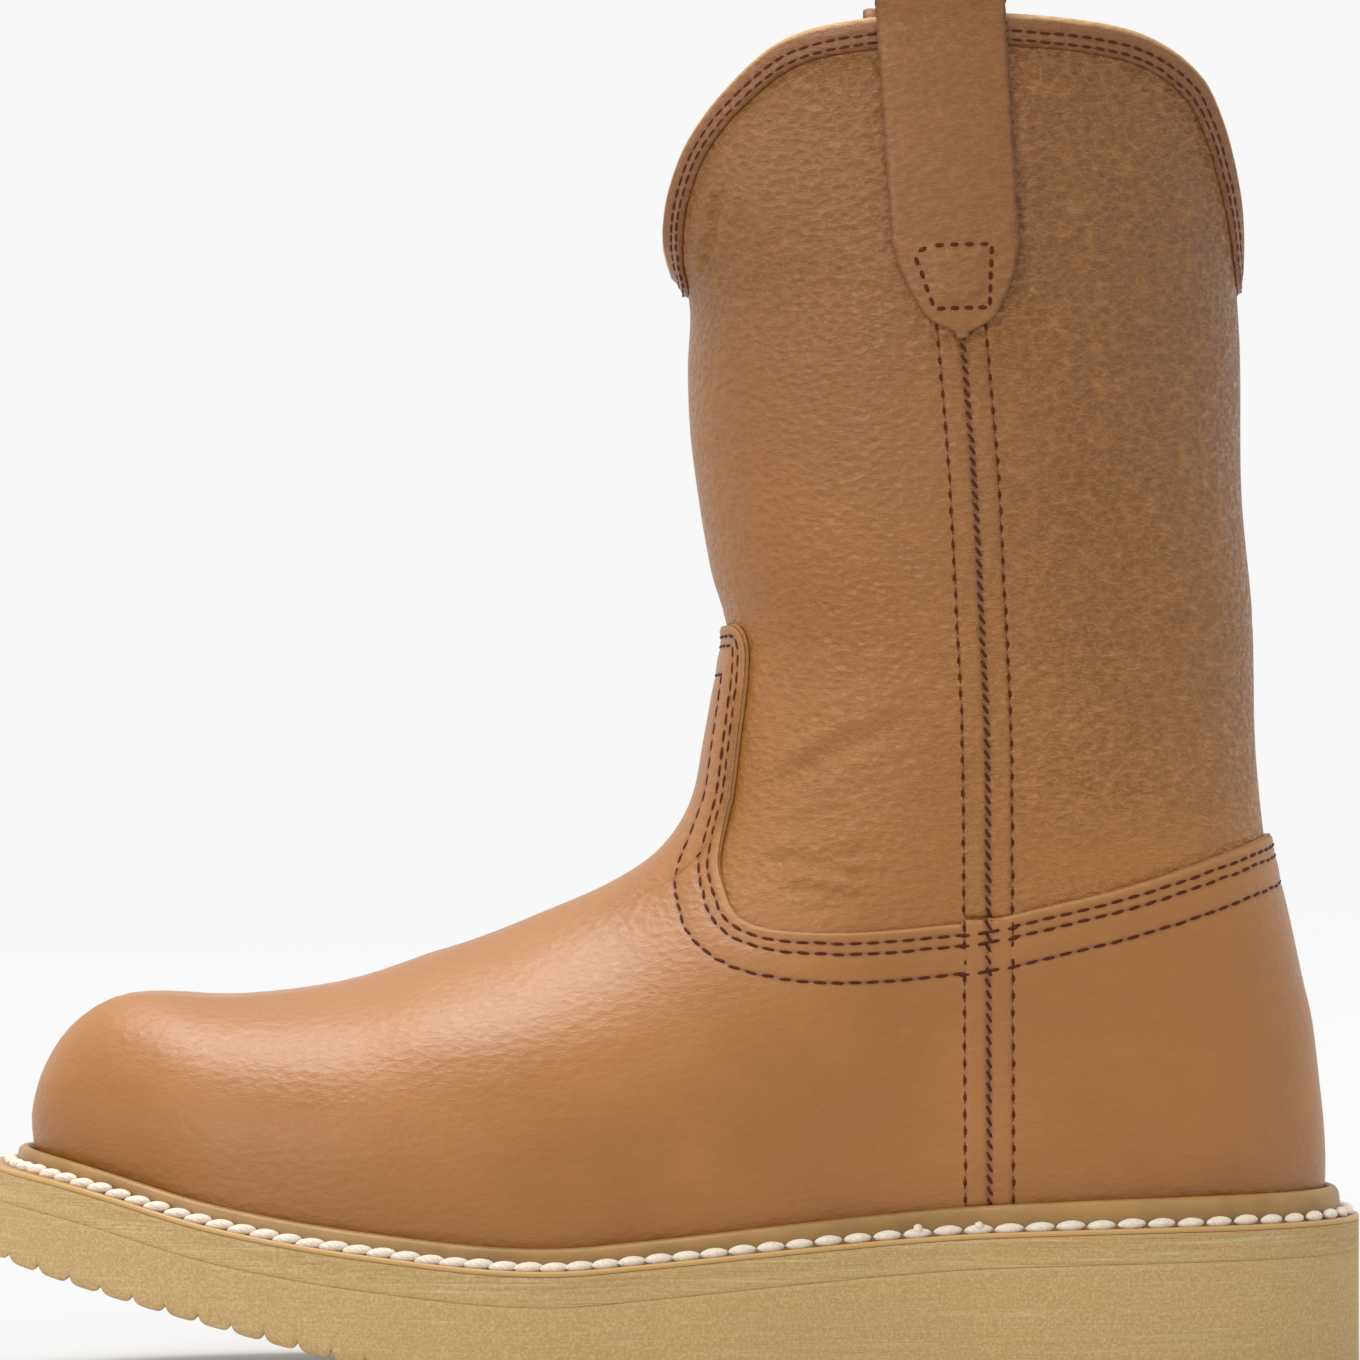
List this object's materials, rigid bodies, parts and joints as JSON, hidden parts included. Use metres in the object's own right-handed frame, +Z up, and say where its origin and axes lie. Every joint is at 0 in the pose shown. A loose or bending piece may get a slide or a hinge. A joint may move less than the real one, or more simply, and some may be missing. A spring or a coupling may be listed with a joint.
{
  "type": "pull-on work boot",
  "caption": "Left pull-on work boot: hollow leather foot and shaft with vamp and heel overlays, scalloped bound collar, pull straps, storm welt and wedge sole.",
  "frame": {"origin": "on the ground plane, at the middle of the sole's length and width", "axes": "+Z up, -X towards the toe, -Y towards the outer side of the foot"},
  "size_m": [0.3124, 0.1206, 0.317],
  "materials": {
    "leather": "oiled, semi-matt",
    "welt_leather": "waxed, satin",
    "insole_leather": "matt",
    "midsole_foam": "matt",
    "sole_rubber": "matt, finely speckled"
  },
  "bodies": {
    "root": {"upper": "leather", "vamp": "leather", "counter": "leather", "collar_binding": "leather", "side_seam_outer_shaft": "leather", "side_seam_outer_foot": "leather", "side_seam_inner_shaft": "leather", "side_seam_inner_foot": "leather", "pull_strap_outer": "leather", "pull_strap_inner": "leather", "welt": "welt_leather", "insole": "insole_leather", "midsole": "midsole_foam", "outsole": "sole_rubber"}
  },
  "joints": []
}
